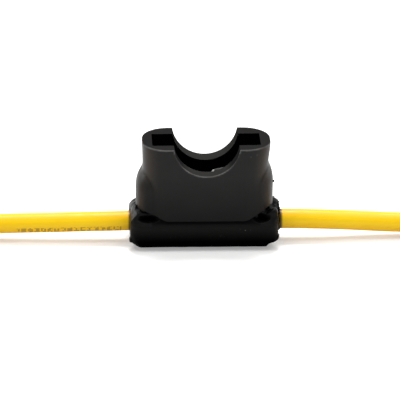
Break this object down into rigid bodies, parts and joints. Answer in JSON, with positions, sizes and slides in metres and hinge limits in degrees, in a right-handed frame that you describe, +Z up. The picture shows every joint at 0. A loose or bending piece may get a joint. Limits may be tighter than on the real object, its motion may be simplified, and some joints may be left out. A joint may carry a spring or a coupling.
{
  "type": "inline fuse holder",
  "caption": "Black inline holder for a blade fuse: an upright socket with a finger scallop, a soft boot round its foot and a yellow lead from each end.",
  "frame": {"origin": "middle of the boot's underside, on the surface that it rests on", "axes": "+X along the right lead, -Y out of the front wall, +Z up out of the fuse slot"},
  "size_m": [0.1946, 0.025, 0.02],
  "materials": {
    "housing_plastic": "satin moulded",
    "boot_rubber": "soft satin",
    "contact_brass": "tinned",
    "strand_copper": "bare strands",
    "lead_insulation": "smooth satin",
    "tie_nylon": "satin"
  },
  "bodies": {
    "root": {"socket_housing": "housing_plastic", "base_boot": "boot_rubber", "contact_left": "contact_brass", "contact_right": "contact_brass", "crimped_strands_left": "strand_copper", "crimped_strands_right": "strand_copper", "lead_left": "lead_insulation", "lead_right": "lead_insulation", "bare_strands_left": "strand_copper", "bare_strands_right": "strand_copper", "tie_left": "tie_nylon", "tie_right": "tie_nylon"}
  },
  "joints": []
}
